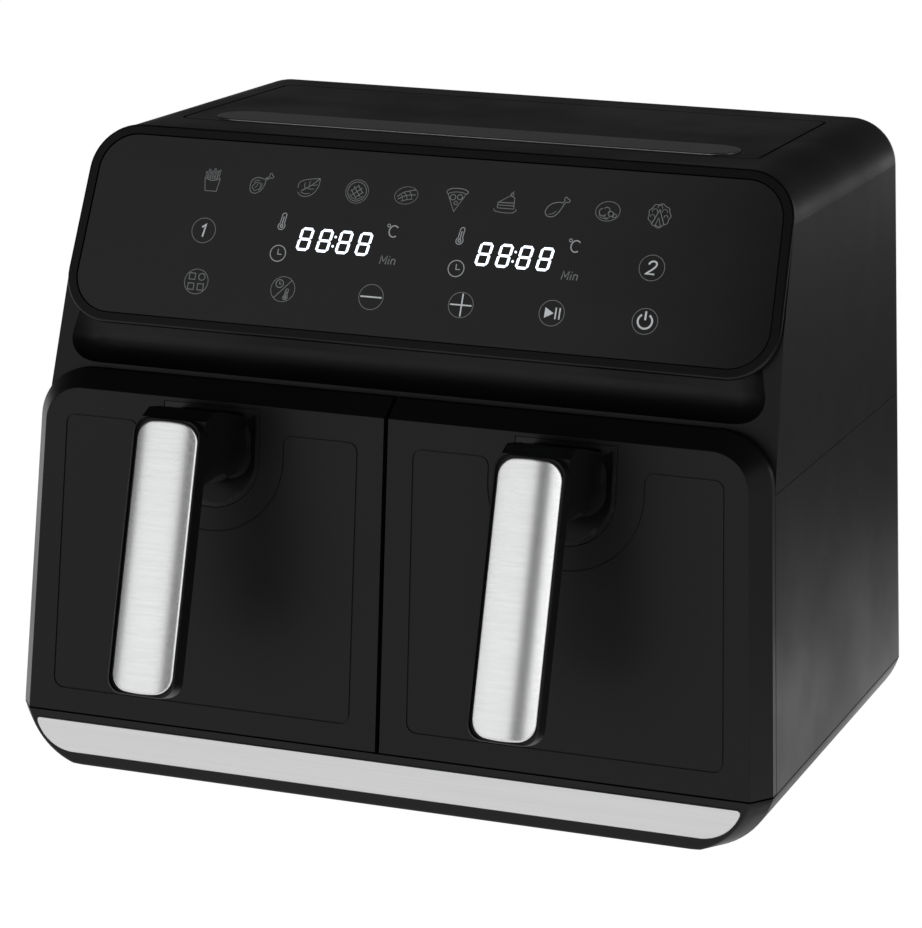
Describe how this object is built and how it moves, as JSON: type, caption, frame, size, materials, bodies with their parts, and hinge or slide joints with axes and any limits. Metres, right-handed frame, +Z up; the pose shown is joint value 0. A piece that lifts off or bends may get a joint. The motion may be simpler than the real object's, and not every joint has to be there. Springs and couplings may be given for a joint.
{
  "type": "air fryer",
  "caption": "Black countertop air fryer with side-by-side pull-out drawers, upright brushed-steel handles, a raked touch panel and a recess below it.",
  "frame": {"origin": "on the resting surface under the centre of the whole object's box", "axes": "+Z up, the drawers and control panel face -Y, +X is the viewer's right when facing the front"},
  "size_m": [0.4, 0.3673, 0.3252],
  "materials": {
    "casing_black": "satin moulded",
    "drawer_black": "satin moulded",
    "grip_black": "satin moulded",
    "mount_black": "satin moulded",
    "backing_black": "matt moulded",
    "frame_black": "matt moulded",
    "bezel_black": "semi-gloss",
    "control_glass": "smoked, back-printed",
    "base_strip_steel": "fine brushed",
    "handle_steel": "fine brushed",
    "top_strip_silver": "satin silver",
    "screw_steel": "zinc plated",
    "shaft_steel": "ground",
    "rubber_black": "matt",
    "seal_silicone": "matt silicone",
    "pan_coating": "non-stick coating",
    "liner_aluminium": "mill finish",
    "fan_aluminium": "mill finish",
    "heater_steel": "heat stained",
    "guard_wire": "plated wire",
    "motor_metal": "plated sheet",
    "circuit_board": "lacquered",
    "display_plastic": "moulded",
    "sensor_plastic": "moulded"
  },
  "bodies": {
    "housing": {"upper_housing": "casing_black", "lower_housing": "casing_black", "rear_cover": "casing_black", "rear_cover_screws": "screw_steel", "cord_inlet": "rubber_black", "base_plinth": "casing_black", "base_trim_strip": "base_strip_steel", "rubber_feet": "rubber_black", "housing_screws": "screw_steel", "top_panel": "casing_black", "top_trim_strip": "top_strip_silver", "control_bezel": "bezel_black", "control_glass": "control_glass", "control_board": "circuit_board", "power_board": "circuit_board", "front_frame": "frame_black", "chamber_liner_left": "liner_aluminium", "chamber_liner_right": "liner_aluminium", "slide_rails_left": "frame_black", "slide_rails_right": "frame_black", "fan_hood_left": "liner_aluminium", "fan_hood_right": "liner_aluminium", "fan_motor_left": "motor_metal", "fan_motor_right": "motor_metal", "heating_element_left": "heater_steel", "heating_element_right": "heater_steel", "heater_guard_left": "guard_wire", "heater_guard_right": "guard_wire", "temperature_sensor_left": "sensor_plastic", "temperature_sensor_right": "sensor_plastic", "drawer_switch_left": "sensor_plastic", "drawer_switch_right": "sensor_plastic", "display_module_left": "display_plastic", "display_module_right": "display_plastic"},
    "fan_left": {"fan_shaft_left": "shaft_steel", "hot_air_fan_left": "fan_aluminium", "cooling_fan_left": "frame_black"},
    "fan_right": {"fan_shaft_right": "shaft_steel", "hot_air_fan_right": "fan_aluminium", "cooling_fan_right": "frame_black"},
    "drawer_left": {"drawer_front_left": "drawer_black", "drawer_backing_left": "backing_black", "handle_mount_left": "mount_black", "handle_core_left": "grip_black", "handle_cover_left": "handle_steel", "basket_left": "pan_coating", "drawer_seal_left": "seal_silicone", "drawer_screws_left": "screw_steel"},
    "drawer_right": {"drawer_front_right": "drawer_black", "drawer_backing_right": "backing_black", "handle_mount_right": "mount_black", "handle_core_right": "grip_black", "handle_cover_right": "handle_steel", "basket_right": "pan_coating", "drawer_seal_right": "seal_silicone", "drawer_screws_right": "screw_steel"},
    "crisper_left": {"crisper_plate_left": "pan_coating", "plate_bumpers_left": "seal_silicone"},
    "crisper_right": {"crisper_plate_right": "pan_coating", "plate_bumpers_right": "seal_silicone"}
  },
  "joints": [
    {"name": "drawer_slide_left", "type": "slide", "parent": "housing", "child": "drawer_left", "axis": [0, -1, 0], "range_m": [0, 0.235]},
    {"name": "crisper_lift_left", "type": "slide", "parent": "drawer_left", "child": "crisper_left", "axis": [0, 0, 1], "range_m": [0, 0.08]},
    {"name": "fan_spin_left", "type": "hinge", "parent": "housing", "child": "fan_left", "pos_m": [-0.096, 0.042, 0.2], "axis": [0, 0, 1], "continuous": true},
    {"name": "drawer_slide_right", "type": "slide", "parent": "housing", "child": "drawer_right", "axis": [0, -1, 0], "range_m": [0, 0.235]},
    {"name": "crisper_lift_right", "type": "slide", "parent": "drawer_right", "child": "crisper_right", "axis": [0, 0, 1], "range_m": [0, 0.08]},
    {"name": "fan_spin_right", "type": "hinge", "parent": "housing", "child": "fan_right", "pos_m": [0.096, 0.042, 0.2], "axis": [0, 0, 1], "continuous": true}
  ]
}
